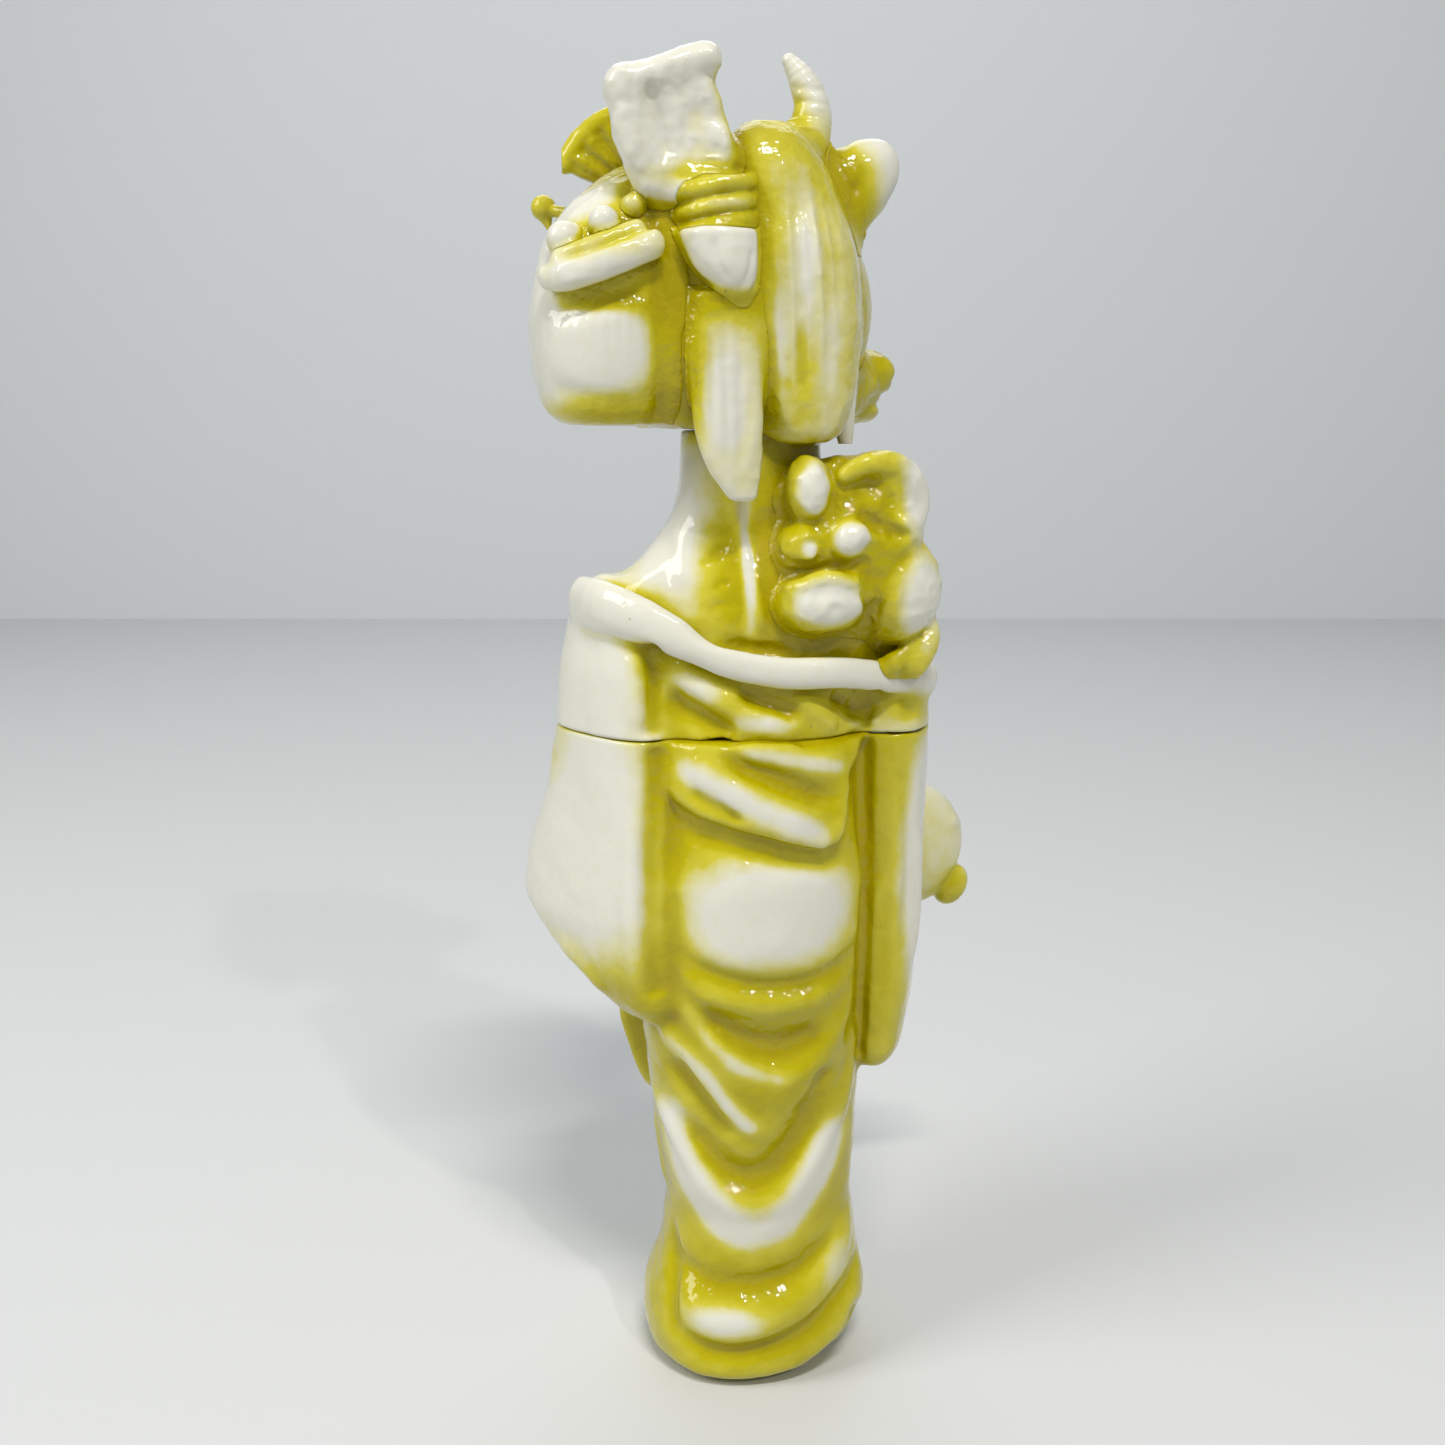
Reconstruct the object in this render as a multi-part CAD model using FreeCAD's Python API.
"""Vinyl art toy: a kimono figure with two heads, cast as hollow soft-vinyl shells that plug together.

Frame: millimetres, +Z up, origin at the centre of the flat sole. The figure faces -Y, so its left is +X.
Three castings turn on each other: the lower kimono, the upper kimono with the neck, and the head.
Small castings (hair pieces, horn, ear, muzzle, hair ornaments, bow, hands) plug into them with round pegs.
"""
import FreeCAD, Part
import math
import os

V = FreeCAD.Vector

# Driving dimensions
WALL = 2.0            # thickness of the soft-vinyl shells
OUTLINE_POINTS = 24   # points that carry one smooth closed outline
WAIST_Z = 83.0        # middle of the parting gap between the lower and upper castings
NECK_Z = 118.0        # middle of the gap between the neck and the head
PARTING_GAP = 0.3     # open gap at both turning joints
JOINT_PLAY = 0.25     # radial play of a turning plug in its hole
LIP = 1.0             # how far a plug's lip reaches past its hole
WAIST_HOLE_R = 8.0
NECK_HOLE_R = 5.0
NECK_X = 0.5          # the neck stands a little to the figure's left
PEG_R = 1.4           # peg of a plugged-in small casting
PEG_PLAY = 0.05       # radial play of a peg in its hole

# Outlines: (z, centre x, centre y, half width x, half depth y)
SKIRT = [
    (0.0, 0.0, 0.0, 12.6, 11.6),
    (2.5, -0.2, 0.0, 14.2, 12.9),
    (8.0, -0.5, 0.0, 14.6, 12.8),
    (14.0, -1.0, 0.0, 13.0, 11.4),
    (22.0, -1.0, 0.0, 11.7, 10.6),
    (34.0, -0.3, 0.0, 13.0, 11.6),
    (46.0, 0.0, 0.0, 14.2, 13.0),
    (58.0, 0.0, 0.2, 14.6, 14.2),
    (66.0, 0.0, 0.2, 14.2, 14.4),
    (74.0, 0.0, 0.0, 13.4, 12.6),
    (WAIST_Z - PARTING_GAP / 2, 0.0, 0.0, 13.0, 11.6),
]
TORSO = [
    (WAIST_Z + PARTING_GAP / 2, 0.0, 0.0, 13.0, 11.6),
    (90.0, 0.0, 0.0, 13.8, 11.0),
    (97.0, 0.0, 0.0, 15.4, 10.0),
    (101.0, 0.2, 0.0, 15.8, 8.8),
    (103.5, 0.3, 0.0, 14.0, 8.3),
    (107.0, NECK_X, 0.0, 10.4, 7.9),
    (111.0, NECK_X, 0.0, 8.6, 7.6),
    (NECK_Z - PARTING_GAP / 2, NECK_X, 0.0, 8.0, 7.4),
]
# Sleeves hang as slabs: (z, centre x, centre y, half thickness, half length), turned about Z
LEFT_SLEEVE_TURN = 36.0
LEFT_SLEEVE = [
    (47.6, 13.4, 5.6, 1.6, 2.6),
    (49.6, 14.0, 5.4, 3.2, 5.4),
    (55.0, 17.6, 2.4, 4.4, 10.0),
    (60.0, 19.6, 0.4, 4.9, 13.0),
    (66.0, 19.0, 0.2, 4.9, 12.4),
    (75.0, 17.4, 0.8, 4.9, 10.4),
    (WAIST_Z - PARTING_GAP / 2, 16.6, 1.2, 5.0, 9.2),
]
RIGHT_SLEEVE_TURN = -14.0
RIGHT_SLEEVE = [
    (39.6, -15.2, 1.0, 2.2, 5.6),
    (42.0, -15.6, 0.6, 3.6, 8.4),
    (50.0, -16.6, -0.6, 4.3, 10.2),
    (60.0, -17.2, -1.2, 4.7, 10.6),
    (72.0, -17.2, -1.0, 5.0, 10.2),
    (WAIST_Z - PARTING_GAP / 2, -16.8, 0.0, 5.2, 9.0),
]
LEFT_SHOULDER = [
    (WAIST_Z + PARTING_GAP / 2, 16.6, 1.2, 5.0, 9.2),
    (90.0, 16.4, 0.8, 5.2, 8.4),
    (97.0, 15.6, 0.2, 5.0, 7.0),
    (101.4, 14.4, 0.0, 3.4, 4.8),
]
RIGHT_SHOULDER = [
    (WAIST_Z + PARTING_GAP / 2, -16.8, 0.0, 5.2, 9.0),
    (90.0, -16.6, 0.0, 5.2, 8.4),
    (96.0, -15.5, 0.0, 4.8, 7.0),
    (100.4, -13.6, 0.0, 3.4, 5.0),
]
# The rolled collar: points round the shoulders, from the left shoulder over the back
COLLAR_R = 1.9
COMB_THICK = 1.3
KNOT = (-0.6, -17.0, 64.0)   # centre of the bow's knot
COLLAR_PATH = [
    (20.4, 0.0, 98.0), (13.4, 9.0, 95.2), (2.0, 11.6, 91.2), (-11.0, 10.6, 90.2), (-21.4, 3.0, 89.2),
    (-20.2, -5.6, 90.6), (-9.0, -10.6, 88.4), (0.0, -11.6, 86.8), (11.0, -9.9, 92.4), (18.4, -6.4, 97.0),
]
# Hair curls on the right shoulder: (x, y, z, half sizes x, y, z)
CURLS = [
    (-5.0, 9.6, 111.4, 2.9, 3.4, 4.4),
    (-12.4, 6.6, 110.2, 5.0, 5.2, 5.4),
    (-8.8, 11.2, 106.2, 3.2, 3.4, 3.0),
    (-4.2, 9.2, 105.0, 3.6, 3.6, 3.4),
    (-6.4, 10.4, 99.4, 5.2, 4.6, 4.2),
    (-15.4, 7.0, 99.8, 5.4, 5.6, 6.8),
    (-9.6, 7.0, 104.6, 7.2, 4.6, 8.4),
]
# The broad side lobe of the dressed hair
WING = [
    (124.0, 16.4, 2.2, 9.2, 9.8),
    (131.0, 16.2, 2.2, 9.6, 10.2),
    (138.0, 15.6, 1.8, 9.0, 9.6),
]
# Pegs of the small castings: from inside the casting to inside the shell that it plugs into
HEAD_PEGS = {
    "side_hair_wing": ((24.4, 1.0, 134.0), (9.0, 1.0, 134.0)),
    "mane": ((-5.0, 11.0, 136.0), (-4.0, 5.0, 136.0)),
    "nape_lock": ((5.0, 11.6, 127.6), (4.4, 5.0, 127.6)),
    "topknot": ((8.0, 5.0, 148.0), (7.4, 4.6, 140.0)),
    "horn": ((-4.6, 0.0, 149.0), (-2.0, 0.0, 142.0)),
    "ear": ((-9.4, -0.4, 143.2), (-4.0, -0.2, 138.0)),
    "muzzle": ((-14.0, -11.0, 123.8), (-6.0, -5.0, 126.0)),
}
BODY_PEGS = {
    "front_bow": ((-0.6, -18.0, 64.0), (-0.6, -9.6, 64.0)),
    "left_hand": ((15.4, -10.4, 77.0), (16.8, -4.4, 76.6)),
    "right_hand": ((-15.4, -10.8, 77.0), (-16.2, -4.4, 76.6)),
    "back_curls": ((-9.6, 8.0, 99.6), (-9.0, 2.0, 98.4)),
}


def outline(z, cx, cy, half_x, half_y, turn=0.0, power=2.3):
    """A smooth closed outline at height z: a superellipse with these half sizes, turned about Z."""
    points = []
    tilt = math.radians(turn)
    for i in range(OUTLINE_POINTS):
        angle = 2 * math.pi * i / OUTLINE_POINTS
        c, s = math.cos(angle), math.sin(angle)
        x = half_x * math.copysign(abs(c) ** (2 / power), c)
        y = half_y * math.copysign(abs(s) ** (2 / power), s)
        points.append(V(cx + x * math.cos(tilt) - y * math.sin(tilt),
                        cy + x * math.sin(tilt) + y * math.cos(tilt), z))
    curve = Part.BSplineCurve()
    curve.interpolate(Points=points, PeriodicFlag=True)
    return Part.Wire(curve.toShape())


def loft(rows, turn=0.0, power=2.3):
    """A solid through the outlines in rows."""
    return Part.makeLoft([outline(*row, turn=turn, power=power) for row in rows], True, False)


def inset(rows, wall, low, high):
    """The rows between heights low and high, drawn in by wall, with their ends moved to low and high."""
    kept = [row for row in rows if low + 1 < row[0] < high - 1]
    ends = [min(rows, key=lambda row: abs(row[0] - z)) for z in (low, high)]
    kept = [(low, *ends[0][1:])] + kept + [(high, *ends[1][1:])]
    return [(z, cx, cy, a - wall, b - wall) for z, cx, cy, a, b in kept]


def ellipsoid(centre, half, turn=0.0, lean=0.0):
    """An ellipsoid with these half sizes, leant about its Y axis and then turned about Z."""
    m = FreeCAD.Matrix()
    m.scale(V(*half))
    m.rotateY(math.radians(lean))
    m.rotateZ(math.radians(turn))
    m.move(V(*centre))
    return Part.makeSphere(1.0).transformGeometry(m)


def rod(start, end, radius, end_radius=None):
    """A straight round rod from start to end, tapered if end_radius is given."""
    a, b = V(*start), V(*end)
    along = b - a
    if end_radius is None:
        return Part.makeCylinder(radius, along.Length, a, along)
    return Part.makeCone(radius, end_radius, along.Length, a, along)


def capsule(start, end, radius, end_radius):
    """A tapered rod with round ends."""
    ends = [Part.makeSphere(radius, V(*start)), Part.makeSphere(end_radius, V(*end))]
    if abs(radius - end_radius) < 1e-6:
        return rod(start, end, radius).multiFuse(ends)
    return rod(start, end, radius, end_radius).multiFuse(ends)


def peg(name, play=0.0):
    """The round peg of the casting called name, or its hole when play is given."""
    start, end = (HEAD_PEGS | BODY_PEGS)[name]
    return rod(start, end, PEG_R + play)


def trim(shape, *others):
    """The shape with the other pieces' room taken out, largest lump only."""
    for other in others:
        shape = shape.cut(other)
    lumps = sorted(shape.Solids, key=lambda solid: solid.Volume)
    return Part.Compound([solid for solid in lumps if solid.Volume > 0.02 * lumps[-1].Volume])


def slab_below(z):
    """A block that fills everything below height z."""
    return Part.makeBox(120, 120, 200, V(-60, -60, z - 200))


def turning_plug(x, top, radius, length, lip_z):
    """A hollow round plug hanging from height top, with a lip that snaps past the mating hole."""
    plug = Part.makeCylinder(radius, length, V(x, 0, top - length))
    lip = Part.makeCone(radius, radius + LIP, 1.2, V(x, 0, lip_z - 2.0))
    lip = lip.fuse(Part.makeCylinder(radius + LIP, 0.8, V(x, 0, lip_z - 0.8)))
    return plug.fuse(lip)


# ---- lower casting -------------------------------------------------------------------------------

def lower_outer():
    """Skirt with both hanging sleeves and the cloth flap under the waist, filled."""
    skirt = loft(SKIRT)
    left = loft(LEFT_SLEEVE, LEFT_SLEEVE_TURN, 2.6)
    right = loft(RIGHT_SLEEVE, RIGHT_SLEEVE_TURN, 2.6)
    flap = Part.makeLoft([
        outline(71.6, -7.0, 10.6, 4.0, 2.4, power=3.0),
        outline(74.5, -2.4, 10.6, 8.6, 3.2, power=3.0),
        outline(82.0, 0.0, 9.6, 10.4, 3.0, power=3.0),
    ], True, False)
    return skirt.multiFuse([left, right, flap])


def kimono_lower():
    """The lower casting: a hollow shell with a closed sole and a round hole in its top deck."""
    top = WAIST_Z - PARTING_GAP / 2
    cavity = loft(inset(SKIRT, WALL, WALL, top - WALL))
    left = loft(inset(LEFT_SLEEVE, WALL, 56.0, top - WALL), LEFT_SLEEVE_TURN, 2.6)
    right = loft(inset(RIGHT_SLEEVE, WALL, 48.0, top - WALL), RIGHT_SLEEVE_TURN, 2.6)
    hole = Part.makeCylinder(WAIST_HOLE_R, 3 * WALL, V(0, 0, top - 2 * WALL))
    return lower_outer().cut(cavity.multiFuse([left, right])).cut(hole)


def bow_loop(side, reach, height):
    """One puffed loop of the bow, opening out from the knot. side is +1 for the figure's left."""
    loop = loft([
        (0.0, 0.0, 0.0, 3.4, 2.8),
        (0.2 * reach, 0.0, 0.0, 0.6 * height, 4.0),
        (0.5 * reach, side * 0.4, 0.6, 0.95 * height, 5.0),
        (0.8 * reach, side * 1.8, 0.8, height, 4.6),
        (0.94 * reach, side * 3.0, 0.7, 0.8 * height, 3.6),
        (reach, side * 3.6, 0.6, 0.5 * height, 2.0),
    ])
    loop.rotate(V(0, 0, 0), V(0, 1, 0), side * 90)
    loop.translate(V(*KNOT))
    return loop


def bow_end(side, bottom):
    """One flat end of the sash: a plate that widens as it hangs from the knot, with round edges."""
    thick = 3.4
    corners = [(1.0, KNOT[2] - 3.0), (4.6, KNOT[2] - 3.0), (16.0, 50.0), (16.4, 39.0), (12.6, bottom), (1.4, bottom)]
    points = [V(side * x, KNOT[1] + 0.6, z) for x, z in corners]
    plate = Part.Face(Part.makePolygon(points + points[:1])).extrude(V(0, thick, 0))
    return plate.makeFillet(1.1, plate.Edges)


def bow_knot():
    """The knot that the loops and the ends come out of."""
    x, y, z = KNOT
    return loft([
        (z - 7.0, x, y - 0.8, 3.4, 2.6),
        (z - 5.0, x, y - 1.2, 4.6, 4.0),
        (z, x, y - 1.4, 4.4, 4.6),
        (z + 5.0, x, y - 1.2, 4.8, 4.0),
        (z + 7.0, x, y - 0.8, 3.6, 2.6),
    ], power=2.6)


def front_bow(body):
    """The big bow tied in front: two puffed loops, the knot and two hanging ends, with a peg behind the knot."""
    bow = bow_knot()
    for piece in (bow_loop(1, 28.0, 9.4), bow_loop(-1, 32.4, 9.8), bow_end(1, 28.6), bow_end(-1, 31.0)):
        bow = bow.fuse(piece)
    return trim(bow, body).fuse(peg("front_bow"))


def hand(side, body, bow):
    """A hand laid over the bow, with a forearm that plugs into its sleeve. side is +1 for the figure's left."""
    name = "left_hand" if side > 0 else "right_hand"
    wrist, palm = (side * 13.0, -13.0, 77.6), (side * 6.4, -16.6, 77.0)
    arm = capsule((side * 16.6, -9.4, 77.0), wrist, 3.6, 3.0)
    arm = arm.fuse(capsule(wrist, palm, 3.0, 2.8)).fuse(ellipsoid(palm, (4.6, 3.4, 3.2), turn=side * 24))
    for i in range(4):
        drop = 1.9 - 1.7 * i
        knuckle = (side * 4.4, -17.6, 77.2 + drop)
        fingertip = (side * (0.6 + 0.5 * abs(i - 1)), -20.4 + 0.4 * abs(i - 1), 75.0 + drop)
        arm = arm.fuse(capsule(knuckle, fingertip, 1.3, 1.05))
    return trim(arm, body, bow).fuse(peg(name))


# ---- upper casting -------------------------------------------------------------------------------

def collar():
    """The rolled collar that runs low round the back and dips to the waist in front, in two halves."""
    path = Part.BSplineCurve()
    path.interpolate(Points=[V(*p) for p in COLLAR_PATH], PeriodicFlag=True)
    middle = (path.FirstParameter + path.LastParameter) / 2
    halves = []
    for first, last in ((path.FirstParameter, middle), (middle, path.LastParameter)):
        span = path.copy()
        span.segment(first, last)
        ring = Part.Wire(Part.Circle(span.value(first), span.tangent(first)[0], COLLAR_R).toShape())
        halves.append(Part.Wire(span.toShape()).makePipeShell([ring], True, False))
    return halves


def kimono_upper():
    """The upper casting: shoulders, sleeve tops, collar and neck, hollow, with a plug at the waist and the neck."""
    low, high = WAIST_Z + PARTING_GAP / 2, NECK_Z - PARTING_GAP / 2
    body = loft(TORSO, power=2.5).multiFuse([
        loft(LEFT_SHOULDER, LEFT_SLEEVE_TURN, 2.6),
        loft(RIGHT_SHOULDER, RIGHT_SLEEVE_TURN, 2.6),
    ] + collar())
    waist_plug = turning_plug(0.0, low + 1.0, WAIST_HOLE_R - JOINT_PLAY, 7.0, low - PARTING_GAP - WALL - 0.2)
    neck_r = NECK_HOLE_R - JOINT_PLAY
    lip_z = high + PARTING_GAP + WALL + 0.2
    neck_plug = Part.makeCylinder(neck_r, 5.5, V(NECK_X, 0, high - 1.0))
    neck_lip = Part.makeCylinder(neck_r + LIP, 0.8, V(NECK_X, 0, lip_z))
    neck_cone = Part.makeCone(neck_r + LIP, neck_r, 1.2, V(NECK_X, 0, lip_z + 0.8))
    body = body.multiFuse([waist_plug, neck_plug, neck_lip, neck_cone])
    cavity = loft(inset(TORSO, WALL, low + WALL, 110.0), power=2.5).multiFuse([
        loft(inset(LEFT_SHOULDER, WALL, low + WALL, 98.0), LEFT_SLEEVE_TURN, 2.6),
        loft(inset(RIGHT_SHOULDER, WALL, low + WALL, 97.0), RIGHT_SLEEVE_TURN, 2.6),
    ])
    bore = Part.makeCylinder(WAIST_HOLE_R - JOINT_PLAY - 1.6, 14, V(0, 0, low - 7))
    neck_bore = Part.makeCylinder(neck_r - 1.6, 30, V(NECK_X, 0, 100))
    return body.cut(cavity.multiFuse([bore, neck_bore]))


def curl_mass(torso):
    """The pile of hair curls on the right shoulder."""
    lumps = [ellipsoid(row[:3], row[3:]) for row in CURLS]
    mass = lumps[0]
    for lump in lumps[1:]:
        mass = mass.fuse(lump)
    return trim(mass, torso).fuse(peg("back_curls"))


# ---- head casting --------------------------------------------------------------------------------

def head_outer():
    """Both faces and the skull of hair behind them, filled, flat at the neck."""
    woman = ellipsoid((5.6, -3.4, 130.6), (11.2, 12.6, 14.6), turn=30)
    beast = ellipsoid((-3.6, -2.8, 131.4), (10.2, 12.0, 13.4), turn=-40)
    skull = ellipsoid((1.2, 0.6, 135.2), (12.6, 11.4, 13.4))
    base = Part.makeCylinder(8.6, 8.0, V(NECK_X, 0, NECK_Z))
    return woman.multiFuse([beast, skull, base]).cut(slab_below(NECK_Z + PARTING_GAP / 2))


def head_cavity():
    """The hollow inside the head."""
    woman = ellipsoid((5.6, -3.4, 130.6), (11.2 - WALL, 12.6 - WALL, 14.6 - WALL), turn=30)
    beast = ellipsoid((-3.6, -2.8, 131.4), (10.2 - WALL, 12.0 - WALL, 13.4 - WALL), turn=-40)
    skull = ellipsoid((1.2, 0.6, 135.2), (12.6 - WALL, 11.4 - WALL, 13.4 - WALL))
    base = Part.makeCylinder(8.6 - WALL, 6.0, V(NECK_X, 0, NECK_Z + WALL))
    space = woman.multiFuse([beast, skull, base])
    return space.cut(slab_below(NECK_Z + PARTING_GAP / 2 + WALL))


def head_shell():
    """The head casting: a hollow shell with a round hole over the neck and holes for the pegs."""
    hole = Part.makeCylinder(NECK_HOLE_R, 2 * WALL, V(NECK_X, 0, NECK_Z))
    return with_holes(head_outer().cut(head_cavity()).cut(hole), HEAD_PEGS)


def side_hair_wing(*others):
    """The broad side lobe of the dressed hair, with its flat trimmed edge underneath."""
    lobe = loft([
        (118.4, 16.2, 2.2, 6.6, 7.2),
        (119.6, 16.4, 2.2, 8.2, 8.8),
        *WING,
        (143.0, 14.2, 1.2, 7.2, 7.6),
        (146.0, 12.6, 0.6, 3.8, 4.4),
    ], power=2.5)
    hollow = loft([(z, cx, cy, a - WALL, b - WALL) for z, cx, cy, a, b in WING], power=2.5)
    return trim(lobe.cut(hollow), *others).fuse(peg("side_hair_wing"))


def mane(*others):
    """The long fall of hair behind the beast's head, pierced at the top by the horn's peg."""
    hair = loft([
        (119.0, -5.4, 7.4, 3.6, 4.0),
        (122.0, -5.4, 7.0, 4.8, 5.0),
        (130.0, -4.8, 6.6, 6.0, 6.4),
        (138.0, -3.8, 5.8, 6.2, 6.8),
        (146.0, -2.4, 3.6, 5.0, 6.2),
        (151.0, -1.4, 1.4, 2.6, 4.0),
    ])
    return with_holes(trim(hair, *others).fuse(peg("mane")), ("horn",))


def nape_lock(*others):
    """The flat lock that hangs behind the neck."""
    hair = loft([
        (110.0, 4.6, 12.0, 1.8, 1.0),
        (112.6, 4.8, 11.8, 3.0, 1.4),
        (120.0, 5.2, 11.6, 3.6, 1.8),
        (127.0, 5.2, 11.6, 3.6, 2.2),
        (131.4, 5.0, 11.0, 3.2, 2.6),
    ], power=3.0)
    return trim(hair, *others).fuse(peg("nape_lock"))


def hair_bun(*others):
    """The tapered lower lobe of the chignon, flat towards the beast's side."""
    bun = loft([
        (131.6, 4.0, 12.0, 1.2, 1.2),
        (133.4, 4.4, 12.0, 3.0, 3.0),
        (136.0, 5.0, 11.6, 4.4, 4.0),
        (138.4, 5.4, 10.8, 4.8, 4.4),
    ])
    flat = Part.makeBox(40, 40, 40, V(-38.6, -10, 120))
    return trim(bun.cut(flat), *others)


def hair_tie(*others):
    """Three stacked cords round the chignon, flat towards the beast's side."""
    rings = []
    for i, (radius, x) in enumerate(((4.6, 5.4), (5.0, 5.8), (5.4, 6.2))):
        rings.append(Part.makeCylinder(radius, 2.0, V(x, 9.4 - 0.6 * i, 138.5 + 2.0 * i)))
    stack = rings[0].multiFuse(rings[1:])
    flat = Part.makeBox(40, 40, 40, V(-38.6, -10, 120))
    return trim(stack.cut(flat), *others)


def topknot(*others):
    """The thick strip of hair that rises from the tie and folds forward over itself, with an open loop."""
    width, depth, height, strip = 11.0, 11.6, 13.2, 3.6
    corner = V(2.6, 0.8, 144.8)
    block = Part.makeBox(width, depth, height, corner)
    block = block.makeFillet(2.4, [e for e in block.Edges if abs(e.Curve.Direction.z) < 0.5])
    loop = Part.makeBox(2 * width, depth - 2 * strip, 5.4, corner + V(-0.5 * width, strip, 4.0))
    block = block.cut(loop)
    block.rotate(corner, V(0, 1, 0), 18)
    return trim(block, *others).fuse(peg("topknot"))


def horn(*others):
    """The curved horn, round in section and tapering to its tip."""
    stations = [
        ((-3.0, 0.0, 145.4), (-0.7, 0.0, 0.7), 4.0),
        ((-5.2, 0.0, 148.6), (-0.4, 0.0, 0.9), 2.9),
        ((-6.3, 0.0, 152.4), (0.1, 0.0, 1.0), 2.0),
        ((-5.4, 0.0, 156.2), (0.5, 0.0, 0.85), 1.4),
        ((-3.3, 0.0, 158.6), (0.8, 0.0, 0.5), 0.6),
    ]
    rings = [Part.Wire(Part.Circle(V(*p), V(*d), r).toShape()) for p, d, r in stations]
    shaft = Part.makeLoft(rings, True, False)
    return trim(shaft, *others).fuse(peg("horn"))


def ear(*others):
    """The leaf-shaped ear, hollowed on its front."""
    leaf = ellipsoid((-10.6, -0.4, 144.4), (7.0, 3.0, 4.0), lean=44)
    hollow = ellipsoid((-10.8, -3.4, 144.8), (4.6, 2.6, 2.5), lean=44)
    return trim(leaf.cut(hollow), *others).fuse(peg("ear"))


def muzzle(*others):
    """The beast's blunt muzzle, deeper at the cheek than at the nose."""
    snout = loft([
        (0.0, 0.0, -1.0, 5.4, 6.2),
        (4.0, 0.0, -0.4, 5.2, 5.2),
        (7.6, 0.0, 0.4, 5.0, 3.8),
        (10.0, 0.0, 0.6, 4.6, 3.2),
        (11.6, 0.0, 0.8, 2.8, 1.8),
    ])
    snout.rotate(V(0, 0, 0), V(1, 0, 0), 90)
    snout.rotate(V(0, 0, 0), V(0, 0, 1), -52)
    snout.translate(V(-9.0, -7.2, 123.4))
    return trim(snout, *others).fuse(peg("muzzle"))


def comb(*others):
    """The curved hair comb lying round the back of the side lobe."""
    (low, cx, cy, a, b), (high, top_cx, top_cy, top_a, top_b) = WING[1:]
    band = loft([(134.6, cx, cy, a + COMB_THICK, b + COMB_THICK),
                 (137.8, top_cx, top_cy, top_a + COMB_THICK, top_b + COMB_THICK)], power=2.5)
    band = band.cut(Part.makeBox(60, 60, 30, V(-30, -52.0, 120)))
    band = band.cut(Part.makeBox(30, 60, 30, V(-17.0, -30, 120)))
    band.rotate(V(cx, cy, 136.2), V(0, 1, 0), 8)
    return max(trim(band, *others).Solids, key=lambda solid: solid.Volume)


def comb_pearls(*others):
    """Three round beads standing above the comb."""
    beads = [Part.makeSphere(r, V(*p)) for p, r in
             (((22.6, 7.0, 140.6), 1.8), ((17.6, 9.0, 142.2), 1.7), ((13.9, 8.6, 143.9), 1.4))]
    return trim(Part.Compound(beads), *others)


def hairpin(*others):
    """A straight pin with a round drop-shaped head, pushed into the top of the side lobe."""
    foot, head_at = (14.0, -3.0, 141.0), (23.4, -9.4, 143.2)
    drop = Part.makeSphere(1.4, V(*head_at)).fuse(rod(head_at, (22.2, -8.5, 140.9), 1.1, 0.2))
    return trim(rod(foot, head_at, 0.7).fuse(drop), *others)


def fan_ornament(*others):
    """A small open folding fan standing in the hair in front of the topknot."""
    pivot, radius, thick = V(11.4, -4.6, 143.4), 10.0, 2.0
    first, last = math.radians(34), math.radians(118)
    spoke = [pivot + V(radius * math.cos(t), 0, radius * math.sin(t))
             for t in (first, (first + last) / 2, last)]
    edge = Part.Arc(*spoke).toShape()
    sector = Part.Wire([Part.makeLine(pivot, spoke[0]), edge, Part.makeLine(spoke[2], pivot)])
    return trim(Part.Face(sector).extrude(V(0, thick, 0)), *others)


def with_holes(shell, names):
    """The shell with a hole for the peg of each named casting."""
    for name in names:
        shell = shell.cut(peg(name, PEG_PLAY))
    return shell


def build():
    """Every node's solid, by name."""
    lower, head = lower_outer(), head_outer()
    upper = kimono_upper()
    bow = front_bow(lower)
    nodes = {
        "kimono_lower": with_holes(kimono_lower(), ("front_bow", "left_hand", "right_hand")),
        "front_bow": bow,
        "left_hand": hand(1, lower, bow),
        "right_hand": hand(-1, lower, bow),
        "kimono_upper": with_holes(upper, ("back_curls",)),
        "back_curls": curl_mass(upper),
        "head_shell": head_shell(),
    }
    on_head = [head]
    for make in (side_hair_wing, mane, nape_lock, hair_bun, hair_tie, topknot, horn, ear, muzzle,
                 comb, comb_pearls, hairpin, fan_ornament):
        piece = make(*on_head)
        nodes[make.__name__] = piece
        on_head.append(piece)
    return nodes


def main():
    os.makedirs("parts", exist_ok=True)
    for name, shape in build().items():
        print(f"{name:16s} solids {len(shape.Solids)}  valid {shape.isValid()}  volume {shape.Volume:9.1f}")
        shape.exportStep(f"parts/{name}.step")


main()
